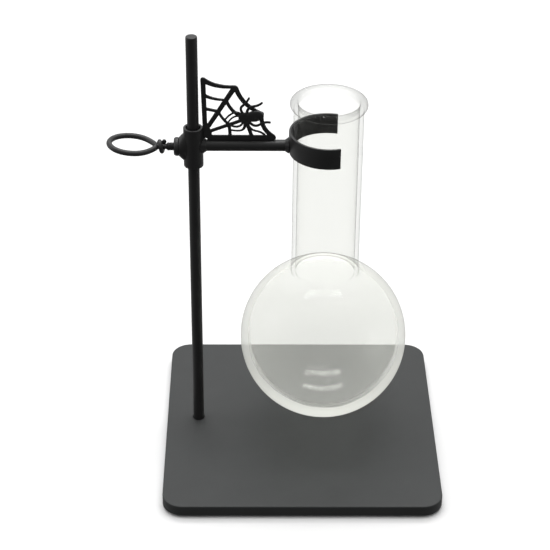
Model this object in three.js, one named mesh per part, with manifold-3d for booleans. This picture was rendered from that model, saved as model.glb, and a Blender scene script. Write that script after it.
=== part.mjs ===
// Retort stand: a steel foot plate and upright rod, a sliding collar locked by a ring-handled
// thumb screw, an arm ending in an open C-shaped clip, a cut web with a spider on the arm,
// and a round-bottomed glass flask held by its neck. Millimetres, +Z up, +X along the arm,
// origin at the middle of the face that rests on the table.

import * as THREE from 'three';
import { mergeVertices } from 'three/addons/utils/BufferGeometryUtils.js';
import Module from 'manifold-3d';

const wasm = await Module();
wasm.setup();

// ---- Driving dimensions -------------------------------------------------------------------

const PAD_THICKNESS = 1;
const PAD_INSET = 3;

const PLATE_SIDE = 150;
const PLATE_THICKNESS = 6.3;
const PLATE_CORNER_RADIUS = 11;
const PLATE_EDGE_ROUND = 0.6;
const PLATE_TOP = PAD_THICKNESS + PLATE_THICKNESS;

const ROD_RADIUS = 3;
const ROD_X = -57.4;
const ROD_Y = 3.7;
const ROD_TOP = 243.4;
const ROD_END_ROUND = 0.8;
const ROD_SEAT_DEPTH = 1.5;

const FOOT_SCREW_RADIUS = 2;
const FOOT_SCREW_LENGTH = 13;
const FOOT_SCREW_HEAD_RADIUS = 3.8;
const FOOT_SCREW_HEAD_HEIGHT = 2.3;
const FOOT_SCREW_SOCKET_RADIUS = 1.4;
const LOCK_WASHER_THICKNESS = 0.7;
const LOCK_WASHER_SLIT = 0.8;
const COUNTERBORE_RADIUS = 4.3;
const COUNTERBORE_DEPTH = 3.3;

const ARM_HEIGHT = 182.2;
const ARM_RADIUS = 3;

const COLLAR_RADIUS = 5.1;
const COLLAR_BORE_RADIUS = 3.85;
const COLLAR_ABOVE_ARM = 10.4;
const COLLAR_BELOW_ARM = 11.7;
const COLLAR_RIM_ROUND = 0.35;

const BUSH_INNER_RADIUS = 3.15;
const BUSH_OUTER_RADIUS = 3.7;
const BUSH_LENGTH = 15;
const BUSH_SLIT = 1.2;

const BOSS_RADIUS = 4.9;
const BOSS_FACE = 7.4;
const BOSS_ROOT = 3;
const BOSS_ROOT_HALF_WIDTH = 3.9;
const BOSS_ROOT_HALF_HEIGHT = 8.5;

const NUT_RADIUS = 4.85;
const NUT_THICKNESS = 2.5;

const THUMB_SCREW_DROP = 0.8;
const THUMB_SCREW_RADIUS = 2.2;
const THUMB_SCREW_BORE = 2.4;
const THUMB_SCREW_NECK_RADIUS = 1.45;
const THUMB_SCREW_SHOULDER = 13.2;
const THUMB_SCREW_END = 18.9;
const TIP_RADIUS = 1.9;
const TIP_LENGTH = 1.4;

const RING_WIRE_RADIUS = 1.45;
const RING_MIDDLE = 31.9;
const RING_HALF_LENGTH = 11.25;
const RING_HALF_WIDTH = 9.4;
const RING_END_GAP = 0.4;
const RING_RISE = 2.1;
const KNOT_WIRE_RADIUS = 1.1;
const KNOT_COIL_RADIUS = 2.65;
const KNOT_PITCH = 2.35;
const KNOT_TURNS = 1.25;

const FLASK_OFFSET = 69.2;
const NECK_RADIUS = 18;
const NECK_WALL = 2.2;
const BULB_RADIUS = 45.5;
const BULB_HEIGHT = 64.1;
const BULB_SIDE_WALL = 3.6;
const BULB_BOTTOM_WALL = 6.4;
const RIM_HEIGHT = 206.1;
const RIM_BEAD_RADIUS = 2.2;
const RIM_RADIUS = 19.9;

const CLIP_INNER_RADIUS = 19;
const CLIP_WALL = 1.2;
const CLIP_HEIGHT = 11.3;
const CLIP_ABOVE_ARM = 2.55;
const CLIP_HALF_ANGLE = THREE.MathUtils.degToRad(106.4);
const LINER_WALL = 0.7;
const LINER_HALF_ANGLE = THREE.MathUtils.degToRad(78);
const LINER_HEIGHT = 9.8;

const WELD_LENGTH = 1.9;
const WELD_HEIGHT = 1.2;
const WELD_CLEARANCE = ARM_RADIUS + WELD_HEIGHT + 0.2;

const WEB_THICKNESS = 1;
const SPIDER_THICKNESS = 0.8;

const FIT = 0.1;
const WELD_GAP = 0.3;

// ---- Solids --------------------------------------------------------------------------------

// A closed three.js geometry as a manifold solid, facing outwards.
function solid(geometry) {
  const bare = geometry.clone();
  bare.deleteAttribute('normal');
  bare.deleteAttribute('uv');
  const merged = mergeVertices(bare, 1e-4);
  const index = merged.index.array;
  const corners = [];
  for (let i = 0; i < index.length; i += 3) {
    const [a, b, c] = [index[i], index[i + 1], index[i + 2]];
    if (a !== b && b !== c && c !== a) corners.push(a, b, c);
  }
  const position = merged.attributes.position.array;
  if (signedVolume(position, corners) < 0) corners.reverse();
  return new wasm.Manifold(new wasm.Mesh({
    numProp: 3,
    vertProperties: Float32Array.from(position),
    triVerts: Uint32Array.from(corners),
  }));
}

function signedVolume(position, corners) {
  const [a, b, c] = [new THREE.Vector3(), new THREE.Vector3(), new THREE.Vector3()];
  let volume = 0;
  for (let i = 0; i < corners.length; i += 3) {
    a.fromArray(position, 3 * corners[i]);
    b.fromArray(position, 3 * corners[i + 1]);
    c.fromArray(position, 3 * corners[i + 2]);
    volume += a.dot(b.cross(c)) / 6;
  }
  return volume;
}

// A manifold solid as a named mesh with its finish.
function piece(name, body, finish) {
  const { vertProperties, triVerts } = body.getMesh();
  const geometry = new THREE.BufferGeometry();
  geometry.setAttribute('position', new THREE.BufferAttribute(vertProperties, 3));
  geometry.setIndex(new THREE.BufferAttribute(triVerts, 1));
  geometry.computeVertexNormals();
  const mesh = new THREE.Mesh(geometry, new THREE.MeshStandardMaterial(finish));
  mesh.name = name;
  return mesh;
}

function join(bodies) {
  return bodies.reduce((whole, body) => whole.add(body));
}

// A turned solid about +Z; the profile lists [radius, height] and starts and ends on the axis.
function turned(profile, segments = 32) {
  const points = profile.map(([radius, height]) => new THREE.Vector2(radius, height));
  return new THREE.LatheGeometry(points, segments).rotateX(Math.PI / 2);
}

// The same about -X: heights in the profile are distances to the left of the rod's axis.
function turnedAlongMinusX(profile, segments = 24) {
  return turned(profile, segments).rotateY(-Math.PI / 2);
}

function roundBar(radius, start, end) {
  return [[0, start], [radius, start], [radius, end], [0, end]];
}

// A ring section swept part of the way round +Z, symmetric about -X.
function arcStrip(innerRadius, outerRadius, halfAngle, height, steps) {
  const outline = new THREE.Shape();
  outline.absarc(0, 0, outerRadius, Math.PI - halfAngle, Math.PI + halfAngle, false);
  outline.absarc(0, 0, innerRadius, Math.PI + halfAngle, Math.PI - halfAngle, true);
  outline.closePath();
  const strip = new THREE.ExtrudeGeometry(outline, {
    depth: height,
    bevelEnabled: false,
    curveSegments: steps / 2,
  });
  return strip.translate(0, 0, -height / 2);
}

// A block, given its size and the middle of its bottom face.
function block(width, depth, height, x = 0, y = 0, z = 0) {
  return new THREE.BoxGeometry(width, depth, height).translate(x, y, z + height / 2);
}

// A round wire along a path.
function wire(path, radius, steps, sides = 10) {
  const section = new THREE.Shape();
  section.absarc(0, 0, radius, 0, 2 * Math.PI, false);
  return new THREE.ExtrudeGeometry(section, {
    steps,
    curveSegments: sides / 2,
    extrudePath: path,
    bevelEnabled: false,
  });
}

// ---- Finishes ------------------------------------------------------------------------------

const BLACK_COAT = { color: 0x222324, roughness: 0.55, metalness: 0.1 };
const BLACK_PLATE = { color: 0x3a3b3c, roughness: 0.6, metalness: 0.1 };
const ZINC = { color: 0x9a9c9e, roughness: 0.4, metalness: 0.9 };
const RUBBER = { color: 0x141414, roughness: 0.9, metalness: 0 };
const NYLON = { color: 0x1b1b1b, roughness: 0.6, metalness: 0 };
const GLASS = { color: 0xf2f6f4, roughness: 0.03, metalness: 0, transparent: true, opacity: 0.3 };

// ---- Foot: anti-slip pad, plate, rod and its screw -------------------------------------------

function roundedSquare(side, cornerRadius) {
  const half = side / 2;
  const middle = half - cornerRadius;
  const outline = new THREE.Shape();
  outline.absarc(middle, middle, cornerRadius, 0, Math.PI / 2, false);
  outline.absarc(-middle, middle, cornerRadius, Math.PI / 2, Math.PI, false);
  outline.absarc(-middle, -middle, cornerRadius, Math.PI, 1.5 * Math.PI, false);
  outline.absarc(middle, -middle, cornerRadius, 1.5 * Math.PI, 2 * Math.PI, false);
  outline.closePath();
  return outline;
}

function antiSlipPad() {
  const outline = roundedSquare(PLATE_SIDE - 2 * PAD_INSET, PLATE_CORNER_RADIUS - PAD_INSET);
  return solid(new THREE.ExtrudeGeometry(outline, {
    depth: PAD_THICKNESS - FIT / 2,
    bevelEnabled: false,
    curveSegments: 4,
  }));
}

function basePlate() {
  const inner = PLATE_SIDE - 2 * PLATE_EDGE_ROUND;
  const outline = roundedSquare(inner, PLATE_CORNER_RADIUS - PLATE_EDGE_ROUND);
  const plate = new THREE.ExtrudeGeometry(outline, {
    depth: PLATE_THICKNESS - 2 * PLATE_EDGE_ROUND,
    bevelThickness: PLATE_EDGE_ROUND,
    bevelSize: PLATE_EDGE_ROUND,
    bevelSegments: 2,
    curveSegments: 4,
  }).translate(0, 0, PAD_THICKNESS + PLATE_EDGE_ROUND);
  const bottom = PAD_THICKNESS;
  const counterboreTop = bottom + COUNTERBORE_DEPTH;
  const seat = PLATE_TOP - ROD_SEAT_DEPTH;
  const clearance = FOOT_SCREW_RADIUS + 2 * FIT;
  const bore = turned([
    [0, bottom - 1],
    [COUNTERBORE_RADIUS, bottom - 1],
    [COUNTERBORE_RADIUS, counterboreTop],
    [clearance, counterboreTop],
    [clearance, seat],
    [ROD_RADIUS + 2 * FIT, seat],
    [ROD_RADIUS + 2 * FIT, PLATE_TOP + 1],
    [0, PLATE_TOP + 1],
  ]).translate(ROD_X, ROD_Y, 0);
  return solid(plate).subtract(solid(bore));
}

// The rod's foot is tapped for the screw that comes up through the plate.
function supportRod() {
  const bottom = PLATE_TOP - ROD_SEAT_DEPTH + FIT;
  const tapped = bottom + FOOT_SCREW_LENGTH;
  const tappedRadius = FOOT_SCREW_RADIUS + FIT;
  return solid(turned([
    [0, tapped],
    [tappedRadius, tapped],
    [tappedRadius, bottom],
    [ROD_RADIUS, bottom],
    [ROD_RADIUS, ROD_TOP - ROD_END_ROUND],
    [ROD_RADIUS - 0.3 * ROD_END_ROUND, ROD_TOP - 0.3 * ROD_END_ROUND],
    [ROD_RADIUS - ROD_END_ROUND, ROD_TOP],
    [0, ROD_TOP],
  ]));
}

const SCREW_HEAD_BOTTOM = PAD_THICKNESS + 2 * FIT;
const SCREW_HEAD_TOP = SCREW_HEAD_BOTTOM + FOOT_SCREW_HEAD_HEIGHT;

function footScrew() {
  const socketTop = SCREW_HEAD_BOTTOM + 1.4;
  return solid(turned([
    [0, socketTop],
    [FOOT_SCREW_SOCKET_RADIUS, socketTop],
    [FOOT_SCREW_SOCKET_RADIUS, SCREW_HEAD_BOTTOM],
    [FOOT_SCREW_HEAD_RADIUS - 0.6, SCREW_HEAD_BOTTOM],
    [FOOT_SCREW_HEAD_RADIUS, SCREW_HEAD_BOTTOM + 0.8],
    [FOOT_SCREW_HEAD_RADIUS, SCREW_HEAD_TOP],
    [FOOT_SCREW_RADIUS, SCREW_HEAD_TOP],
    [FOOT_SCREW_RADIUS, SCREW_HEAD_TOP + FOOT_SCREW_LENGTH],
    [0, SCREW_HEAD_TOP + FOOT_SCREW_LENGTH],
  ], 24));
}

function lockWasher() {
  const inner = FOOT_SCREW_RADIUS + 2 * FIT;
  const outer = FOOT_SCREW_HEAD_RADIUS;
  const halfAngle = Math.PI - LOCK_WASHER_SLIT / outer / 2;
  const ring = arcStrip(inner, outer, halfAngle, LOCK_WASHER_THICKNESS, 20);
  return solid(ring.translate(0, 0, SCREW_HEAD_TOP + FIT / 2 + LOCK_WASHER_THICKNESS / 2));
}

// ---- Collar: a tube on the rod with a flared, threaded boss on its left ----------------------

function collar() {
  const [bottom, top] = [-COLLAR_BELOW_ARM, COLLAR_ABOVE_ARM];
  const tube = turned([
    [0, bottom],
    [COLLAR_RADIUS - COLLAR_RIM_ROUND, bottom],
    [COLLAR_RADIUS, bottom + COLLAR_RIM_ROUND],
    [COLLAR_RADIUS, top - COLLAR_RIM_ROUND],
    [COLLAR_RADIUS - COLLAR_RIM_ROUND, top],
    [0, top],
  ], 40);
  const bore = turned(roundBar(COLLAR_BORE_RADIUS, bottom - 1, top + 1), 40);
  const screwBore = turnedAlongMinusX(roundBar(THUMB_SCREW_BORE, 0, BOSS_FACE + 1))
    .translate(0, 0, -THUMB_SCREW_DROP);
  return solid(tube).add(solid(flaredBoss())).subtract(solid(bore)).subtract(solid(screwBore));
}

// A round boss that widens into the tube: tall along the tube, no wider than it.
function flaredBoss() {
  const length = BOSS_FACE - BOSS_ROOT;
  const boss = new THREE.CylinderGeometry(1, 1, length, 32, 5).rotateZ(Math.PI / 2);
  const place = boss.attributes.position;
  for (let i = 0; i < place.count; i += 1) {
    const towardsRoot = place.getX(i) / length + 0.5;
    const taper = towardsRoot ** 2;
    const flare = Math.sin(towardsRoot * Math.PI / 2);
    const halfWidth = THREE.MathUtils.lerp(BOSS_RADIUS, BOSS_ROOT_HALF_WIDTH, taper);
    const halfHeight = THREE.MathUtils.lerp(BOSS_RADIUS, BOSS_ROOT_HALF_HEIGHT, flare);
    place.setY(i, place.getY(i) * halfWidth);
    place.setZ(i, place.getZ(i) * halfHeight);
  }
  return boss.translate(-(BOSS_FACE + BOSS_ROOT) / 2, 0, -THUMB_SCREW_DROP);
}

// The split nylon bush slides on the rod and the collar turns on it.
function slideBush() {
  const halfAngle = Math.PI - BUSH_SLIT / BUSH_OUTER_RADIUS / 2;
  return solid(arcStrip(BUSH_INNER_RADIUS, BUSH_OUTER_RADIUS, halfAngle, BUSH_LENGTH, 32));
}

function screwNut() {
  const start = BOSS_FACE + FIT;
  const end = start + NUT_THICKNESS;
  const round = 0.5;
  const nut = turnedAlongMinusX([
    [0, start],
    [NUT_RADIUS - 0.3, start],
    [NUT_RADIUS, start + 0.3],
    [NUT_RADIUS, end - round],
    [NUT_RADIUS - round, end],
    [0, end],
  ], 32);
  const bore = turnedAlongMinusX(roundBar(THUMB_SCREW_BORE, start - 1, end + 1));
  return solid(nut).subtract(solid(bore));
}

// ---- Thumb screw: tip, shank, knot and ring --------------------------------------------------

const TIP_FACE = BUSH_OUTER_RADIUS + FIT;

function pressureTip() {
  const end = TIP_FACE + TIP_LENGTH;
  return solid(turnedAlongMinusX(roundBar(TIP_RADIUS, TIP_FACE, end), 20));
}

function thumbScrewShank() {
  const start = TIP_FACE + TIP_LENGTH + FIT;
  return solid(turnedAlongMinusX([
    [0, start],
    [THUMB_SCREW_RADIUS - 0.3, start],
    [THUMB_SCREW_RADIUS, start + 0.3],
    [THUMB_SCREW_RADIUS, THUMB_SCREW_SHOULDER],
    [THUMB_SCREW_NECK_RADIUS, THUMB_SCREW_SHOULDER + 0.4],
    [THUMB_SCREW_NECK_RADIUS, THUMB_SCREW_END],
    [0, THUMB_SCREW_END],
  ]));
}

// Wire wound round the neck of the screw, where the ring is fixed to it.
function ringKnot() {
  const start = THUMB_SCREW_SHOULDER + 0.4 + FIT + KNOT_WIRE_RADIUS;
  const turns = [];
  const stepsPerTurn = 12;
  for (let i = 0; i <= KNOT_TURNS * stepsPerTurn; i += 1) {
    const turn = i / stepsPerTurn;
    const angle = 2 * Math.PI * turn;
    turns.push(new THREE.Vector3(
      -(start + KNOT_PITCH * turn),
      KNOT_COIL_RADIUS * Math.sin(angle),
      KNOT_COIL_RADIUS * Math.cos(angle),
    ));
  }
  return solid(wire(new THREE.CatmullRomCurve3(turns), KNOT_WIRE_RADIUS, 2 * turns.length));
}

// An oval loop of wire whose ends meet at the knot, lifted a little at its far end.
function ringHandle() {
  const points = [];
  const stretches = 32;
  const gapAngle = RING_END_GAP / 2 / RING_HALF_WIDTH;
  for (let i = 0; i <= stretches; i += 1) {
    const angle = THREE.MathUtils.lerp(gapAngle, 2 * Math.PI - gapAngle, i / stretches);
    points.push(new THREE.Vector3(
      -(RING_MIDDLE - RING_HALF_LENGTH * Math.cos(angle)),
      RING_HALF_WIDTH * Math.sin(angle),
      RING_RISE * (1 - Math.cos(angle)) / 2,
    ));
  }
  return solid(wire(new THREE.CatmullRomCurve3(points), RING_WIRE_RADIUS, 48));
}

// ---- Arm, welds and clip ---------------------------------------------------------------------

const CLIP_OUTER_RADIUS = CLIP_INNER_RADIUS + CLIP_WALL;
const ARM_START = COLLAR_RADIUS + FIT;
const ARM_END = FLASK_OFFSET - CLIP_OUTER_RADIUS - FIT;

function armRod() {
  const bar = new THREE.CylinderGeometry(ARM_RADIUS, ARM_RADIUS, ARM_END - ARM_START, 32);
  return solid(bar.rotateZ(Math.PI / 2).translate((ARM_START + ARM_END) / 2, 0, 0));
}

// A ring of weld round the arm, tallest against the piece that the arm meets.
function weldRing(wide, narrow) {
  const bore = ARM_RADIUS + FIT;
  const profile = [
    [bore, wide],
    [bore + WELD_HEIGHT, wide],
    [bore + 0.45 * WELD_HEIGHT, 0.6 * wide + 0.4 * narrow],
    [bore, narrow],
    [bore, wide],
  ];
  const points = profile.map(([radius, x]) => new THREE.Vector2(radius, x));
  return new THREE.LatheGeometry(points, 32).rotateZ(-Math.PI / 2);
}

function armWeld() {
  const collarSpace = turned(roundBar(COLLAR_RADIUS + WELD_GAP / 2, -20, 20), 48);
  return solid(weldRing(0.6 * COLLAR_RADIUS, COLLAR_RADIUS + WELD_LENGTH)).subtract(solid(collarSpace));
}

function clipWeld() {
  const clipSpace = turned(roundBar(CLIP_OUTER_RADIUS + WELD_GAP / 2, -20, 20), 72)
    .translate(FLASK_OFFSET, 0, 0);
  const wide = FLASK_OFFSET - CLIP_OUTER_RADIUS + 1;
  return solid(weldRing(wide, ARM_END - WELD_LENGTH)).subtract(solid(clipSpace));
}

function clipBand() {
  return solid(arcStrip(CLIP_INNER_RADIUS, CLIP_OUTER_RADIUS, CLIP_HALF_ANGLE, CLIP_HEIGHT, 40));
}

function clipLiner() {
  const outer = CLIP_INNER_RADIUS - FIT;
  return solid(arcStrip(outer - LINER_WALL, outer, LINER_HALF_ANGLE, LINER_HEIGHT, 30));
}

// ---- Web and spider, drawn in the upright plane of the arm ------------------------------------
// x runs from the rod's axis, y from the arm's axis.

const WEB_BOTTOM = ARM_RADIUS + FIT;
// Each spoke is a tapered bar: its two ends and the width at each.
const WEB_SPOKES = [
  { from: [6.25, 4.7], to: [5.4, 37.2], widths: [2.3, 2.45] },
  { from: [6.9, 9.4], to: [21.2, 32.9], widths: [2.15, 2.5] },
  { from: [6.9, 7.5], to: [35.2, 18.4], widths: [1.6, 1.6] },
  { from: [6.3, 4.5], to: [41, 4.5], widths: [2.8, 2.8] },
  { from: [8.2, 5.6], to: [8.2, 8.3], widths: [2.6, 2.6] },
];

// Threads run from spoke to spoke and sag towards the corner of the web: inner, middle, outer.
const WEB_THREADS = [
  { from: [6.3, 21], bend: [9.6, 20.2], to: [12.6, 19.6], widths: [1.5, 1.3] },
  { from: [12.9, 19.6], bend: [14.5, 15.7], to: [18, 12.3], widths: [1.25, 1.25] },
  { from: [18.3, 12.3], bend: [18.8, 9], to: [18.9, 5], widths: [1.6, 1.65] },
  { from: [6.2, 28.5], bend: [10, 26.2], to: [16.6, 26], widths: [1.7, 0.9] },
  { from: [16.9, 26.2], bend: [19.3, 18.4], to: [27, 15.6], widths: [1.6, 1.6] },
  { from: [26.9, 15], bend: [28, 11], to: [30.1, 5], widths: [1.7, 1.8] },
  { from: [5.4, 37.3], bend: [11.5, 32.7], to: [21.6, 33.4], widths: [2.6, 1.4] },
  { from: [21.9, 32.7], bend: [25.1, 22.7], to: [35, 18.3], widths: [2.4, 1.7] },
  { from: [35.1, 18.2], bend: [34, 9.9], to: [41.1, 5], widths: [2.1, 2.2] },
];

// A tapered bar with round ends along a quadratic curve, as an outline.
function taperedBar({ from, bend, to, widths }, steps = 7) {
  const middle = new THREE.QuadraticBezierCurve(
    new THREE.Vector2(...from), new THREE.Vector2(...bend), new THREE.Vector2(...to));
  const sides = { left: [], right: [] };
  for (let i = 0; i <= steps; i += 1) {
    const point = middle.getPoint(i / steps);
    const along = middle.getTangent(i / steps);
    const half = THREE.MathUtils.lerp(...widths, i / steps) / 2;
    sides.left.push(new THREE.Vector2(point.x - half * along.y, point.y + half * along.x));
    sides.right.push(new THREE.Vector2(point.x + half * along.y, point.y - half * along.x));
  }
  return [...roundEnd(middle, 0, widths[0] / 2), ...sides.right,
    ...roundEnd(middle, 1, widths[1] / 2), ...sides.left.reverse()];
}

function straightBar({ from, to, widths }) {
  const bend = [(from[0] + to[0]) / 2, (from[1] + to[1]) / 2];
  return taperedBar({ from, bend, to, widths }, 1);
}

function roundEnd(curve, t, radius) {
  const centre = curve.getPoint(t);
  const along = curve.getTangent(t);
  const start = Math.atan2(along.y, along.x) + (t === 0 ? 0.5 : -0.5) * Math.PI;
  return [1, 2, 3].map((i) => new THREE.Vector2(
    centre.x + radius * Math.cos(start + i * Math.PI / 4),
    centre.y + radius * Math.sin(start + i * Math.PI / 4)));
}

// An outline in the plane of the arm given thickness, from `front` backwards.
function sheet(outline, front, thickness) {
  const cut = new THREE.ExtrudeGeometry(new THREE.Shape(outline), {
    depth: thickness,
    bevelEnabled: false,
    curveSegments: 6,
  });
  return solid(cut.rotateX(Math.PI / 2).translate(0, front + thickness, 0));
}

// The web's lower left corner is notched round the collar and the weld at the arm's root.
function webPlate() {
  const front = -WEB_THICKNESS / 2;
  const outlines = [
    ...WEB_SPOKES.map(straightBar),
    ...WEB_THREADS.map((thread) => taperedBar(thread)),
  ];
  const web = join(outlines.map((outline) => sheet(outline, front, WEB_THICKNESS)));
  const armSpace = block(100, 10, 20, 40, 0, WEB_BOTTOM - 20);
  const collarSpace = turned(roundBar(COLLAR_RADIUS + FIT, -20, COLLAR_ABOVE_ARM + 3 * FIT), 40);
  const weldEnd = COLLAR_RADIUS + WELD_LENGTH + 2 * FIT;
  const weldSpace = new THREE.CylinderGeometry(WELD_CLEARANCE, WELD_CLEARANCE, weldEnd, 32)
    .rotateZ(Math.PI / 2)
    .translate(weldEnd / 2, 0, 0);
  return [armSpace, collarSpace, weldSpace].reduce((left, cut) => left.subtract(solid(cut)), web);
}

const SPIDER_ABDOMEN = { x: 31.4, y: 17.3, length: 9.2, height: 6, tilt: 0.16 };
const SPIDER_HEAD = { x: 26.2, y: 16.3, length: 6, height: 6, tilt: 0 };
const SPIDER_LEGS = [
  { from: [24.8, 18], bend: [21.6, 22.1], to: [16.4, 15.4], widths: [0.9, 0.75] },
  { from: [24.4, 17.2], bend: [20.6, 18.2], to: [18, 13.9], widths: [0.8, 0.65] },
  { from: [25.6, 13.8], bend: [23.9, 9.9], to: [19.2, 12], widths: [1, 0.85] },
  { from: [26.7, 13], bend: [26.4, 9.6], to: [24.3, 9.1], widths: [1.7, 0.75] },
  { from: [24.3, 9.1], bend: [22, 8.8], to: [19.3, 9.4], widths: [0.75, 0.7] },
  { from: [25.6, 18.6], bend: [23.6, 21.4], to: [25, 22.9], widths: [1.25, 1.2] },
  { from: [25, 22.9], bend: [27.4, 24.8], to: [28.6, 27.5], widths: [1.2, 0.95] },
  { from: [27.5, 18.6], bend: [27.4, 22.5], to: [31.5, 23], widths: [1.45, 1.2] },
  { from: [31.5, 23], bend: [33.6, 23.4], to: [35.1, 24.8], widths: [1.2, 1] },
  { from: [28, 15], bend: [31.1, 10], to: [34.6, 12.9], widths: [1.3, 1.1] },
  { from: [34.6, 12.9], bend: [36.5, 14.2], to: [39.2, 13.75], widths: [1.1, 1.05] },
  { from: [27.6, 14.4], bend: [28.6, 9.5], to: [32, 8.95], widths: [1.2, 0.85] },
  { from: [32, 8.95], bend: [34.3, 8.6], to: [36.5, 6.8], widths: [0.85, 0.95] },
];

function oval({ x, y, length, height, tilt }) {
  const curve = new THREE.EllipseCurve(x, y, length / 2, height / 2, 0, 2 * Math.PI, false, tilt);
  return curve.getPoints(20).slice(0, -1);
}

function spider() {
  const front = -WEB_THICKNESS / 2 - FIT - SPIDER_THICKNESS;
  const outlines = [oval(SPIDER_ABDOMEN), oval(SPIDER_HEAD)];
  for (const leg of SPIDER_LEGS) outlines.push(taperedBar(leg, 5));
  return join(outlines.map((outline) => sheet(outline, front, SPIDER_THICKNESS)));
}

// ---- Flask -----------------------------------------------------------------------------------

function arcPoints(centreRadius, centreHeight, radius, from, to, steps) {
  const points = [];
  for (let i = 0; i <= steps; i += 1) {
    const angle = from + (to - from) * i / steps;
    points.push([centreRadius + radius * Math.cos(angle), centreHeight + radius * Math.sin(angle)]);
  }
  return points;
}

// Outside from the bottom to the rim, then inside back down. The bulb's hollow sits high in it,
// so that the glass is thick at the bottom and thin at the shoulder.
function flask() {
  const innerNeck = NECK_RADIUS - NECK_WALL;
  const innerBulb = BULB_RADIUS - BULB_SIDE_WALL;
  const innerBulbHeight = BULB_HEIGHT + BULB_BOTTOM_WALL - BULB_SIDE_WALL;
  const beadCentre = RIM_RADIUS - RIM_BEAD_RADIUS;
  const neckTop = RIM_HEIGHT - Math.sqrt(RIM_BEAD_RADIUS ** 2 - (NECK_RADIUS - beadCentre) ** 2);
  const outerJoin = Math.acos(NECK_RADIUS / BULB_RADIUS);
  const innerJoin = Math.acos(innerNeck / innerBulb);
  const beadEnd = Math.acos((innerNeck - beadCentre) / RIM_BEAD_RADIUS);
  const profile = [
    ...arcPoints(0, BULB_HEIGHT, BULB_RADIUS, -Math.PI / 2, outerJoin, 13),
    [NECK_RADIUS, neckTop],
    ...arcPoints(beadCentre, RIM_HEIGHT, RIM_BEAD_RADIUS, -0.35 * Math.PI, beadEnd, 6),
    ...arcPoints(0, innerBulbHeight, innerBulb, innerJoin, -Math.PI / 2, 11),
  ];
  profile[0][0] = 0;
  profile[profile.length - 1][0] = 0;
  return solid(turned(profile, 36));
}

// ---- Assembly --------------------------------------------------------------------------------

function placed(x, y, z, ...children) {
  const group = new THREE.Group();
  group.position.set(x, y, z);
  group.add(...children);
  return group;
}

const foot = placed(0, 0, 0,
  piece('anti_slip_pad', antiSlipPad(), RUBBER),
  piece('base_plate', basePlate(), BLACK_PLATE),
);

const upright = placed(ROD_X, ROD_Y, 0,
  piece('support_rod', supportRod(), BLACK_COAT),
  piece('foot_screw', footScrew(), ZINC),
  piece('foot_lock_washer', lockWasher(), ZINC),
);

const thumbScrew = placed(0, 0, -THUMB_SCREW_DROP,
  piece('screw_nut', screwNut(), BLACK_COAT),
  piece('pressure_tip', pressureTip(), NYLON),
  piece('thumb_screw_shank', thumbScrewShank(), BLACK_COAT),
  piece('ring_knot', ringKnot(), BLACK_COAT),
  piece('ring_handle', ringHandle(), BLACK_COAT),
);

const clip = placed(FLASK_OFFSET, 0, CLIP_ABOVE_ARM,
  piece('clip_band', clipBand(), BLACK_COAT),
  piece('clip_liner', clipLiner(), RUBBER),
);

const clamp = placed(ROD_X, ROD_Y, ARM_HEIGHT,
  piece('slide_bush', slideBush(), NYLON),
  piece('collar', collar(), BLACK_COAT),
  piece('arm_rod', armRod(), BLACK_COAT),
  piece('arm_weld', armWeld(), BLACK_COAT),
  piece('clip_weld', clipWeld(), BLACK_COAT),
  piece('web_plate', webPlate(), BLACK_COAT),
  piece('spider', spider(), BLACK_COAT),
  thumbScrew,
  clip,
);

const glassware = placed(ROD_X + FLASK_OFFSET, ROD_Y, 0, piece('flask', flask(), GLASS));

const stand = new THREE.Group();
stand.add(foot, upright, clamp, glassware);

export default stand;
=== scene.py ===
import math

import bmesh
import bpy
from mathutils import Matrix, Vector


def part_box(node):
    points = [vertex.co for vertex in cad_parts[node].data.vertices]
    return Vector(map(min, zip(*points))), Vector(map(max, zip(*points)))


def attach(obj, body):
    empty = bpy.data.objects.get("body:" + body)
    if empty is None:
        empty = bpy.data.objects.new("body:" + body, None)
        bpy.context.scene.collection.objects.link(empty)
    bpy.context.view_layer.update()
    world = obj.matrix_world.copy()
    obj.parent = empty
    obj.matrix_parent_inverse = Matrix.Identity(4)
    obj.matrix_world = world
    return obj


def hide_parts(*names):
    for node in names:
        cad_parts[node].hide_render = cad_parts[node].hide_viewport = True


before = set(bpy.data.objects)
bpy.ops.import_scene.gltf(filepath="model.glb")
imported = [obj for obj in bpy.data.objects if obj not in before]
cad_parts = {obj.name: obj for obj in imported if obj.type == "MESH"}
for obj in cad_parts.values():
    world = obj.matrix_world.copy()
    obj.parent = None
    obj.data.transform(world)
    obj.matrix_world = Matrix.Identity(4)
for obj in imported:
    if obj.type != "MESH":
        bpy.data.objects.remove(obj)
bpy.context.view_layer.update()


# ---- Table, light and camera --------------------------------------------------------------
# A round of white paper under the stand, soft boxes above it and to its left, and a dim front,
# as in a small product tent. The camera looks down at the stand from the front.

FLOOR_RADIUS = 3.0
FLOOR_SIDES = 96
bm = bmesh.new()
bmesh.ops.create_circle(bm, cap_ends=True, segments=FLOOR_SIDES, radius=FLOOR_RADIUS)
floor_mesh = bpy.data.meshes.new("table")
bm.to_mesh(floor_mesh)
bm.free()
floor = bpy.data.objects.new("table", floor_mesh)
bpy.context.scene.collection.objects.link(floor)
# The paper lights nothing by itself; the tent below stands for what little it gives back.
floor.visible_diffuse = False
floor.visible_glossy = False

paper = bpy.data.materials.new("white_paper")
paper.use_nodes = True
paper_shader = paper.node_tree.nodes["Principled BSDF"]
paper_shader.inputs["Base Color"].default_value = (0.78, 0.78, 0.78, 1)
paper_shader.inputs["Roughness"].default_value = 0.9
paper_shader.inputs["Specular IOR Level"].default_value = 0.1
floor_mesh.materials.append(paper)


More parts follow.
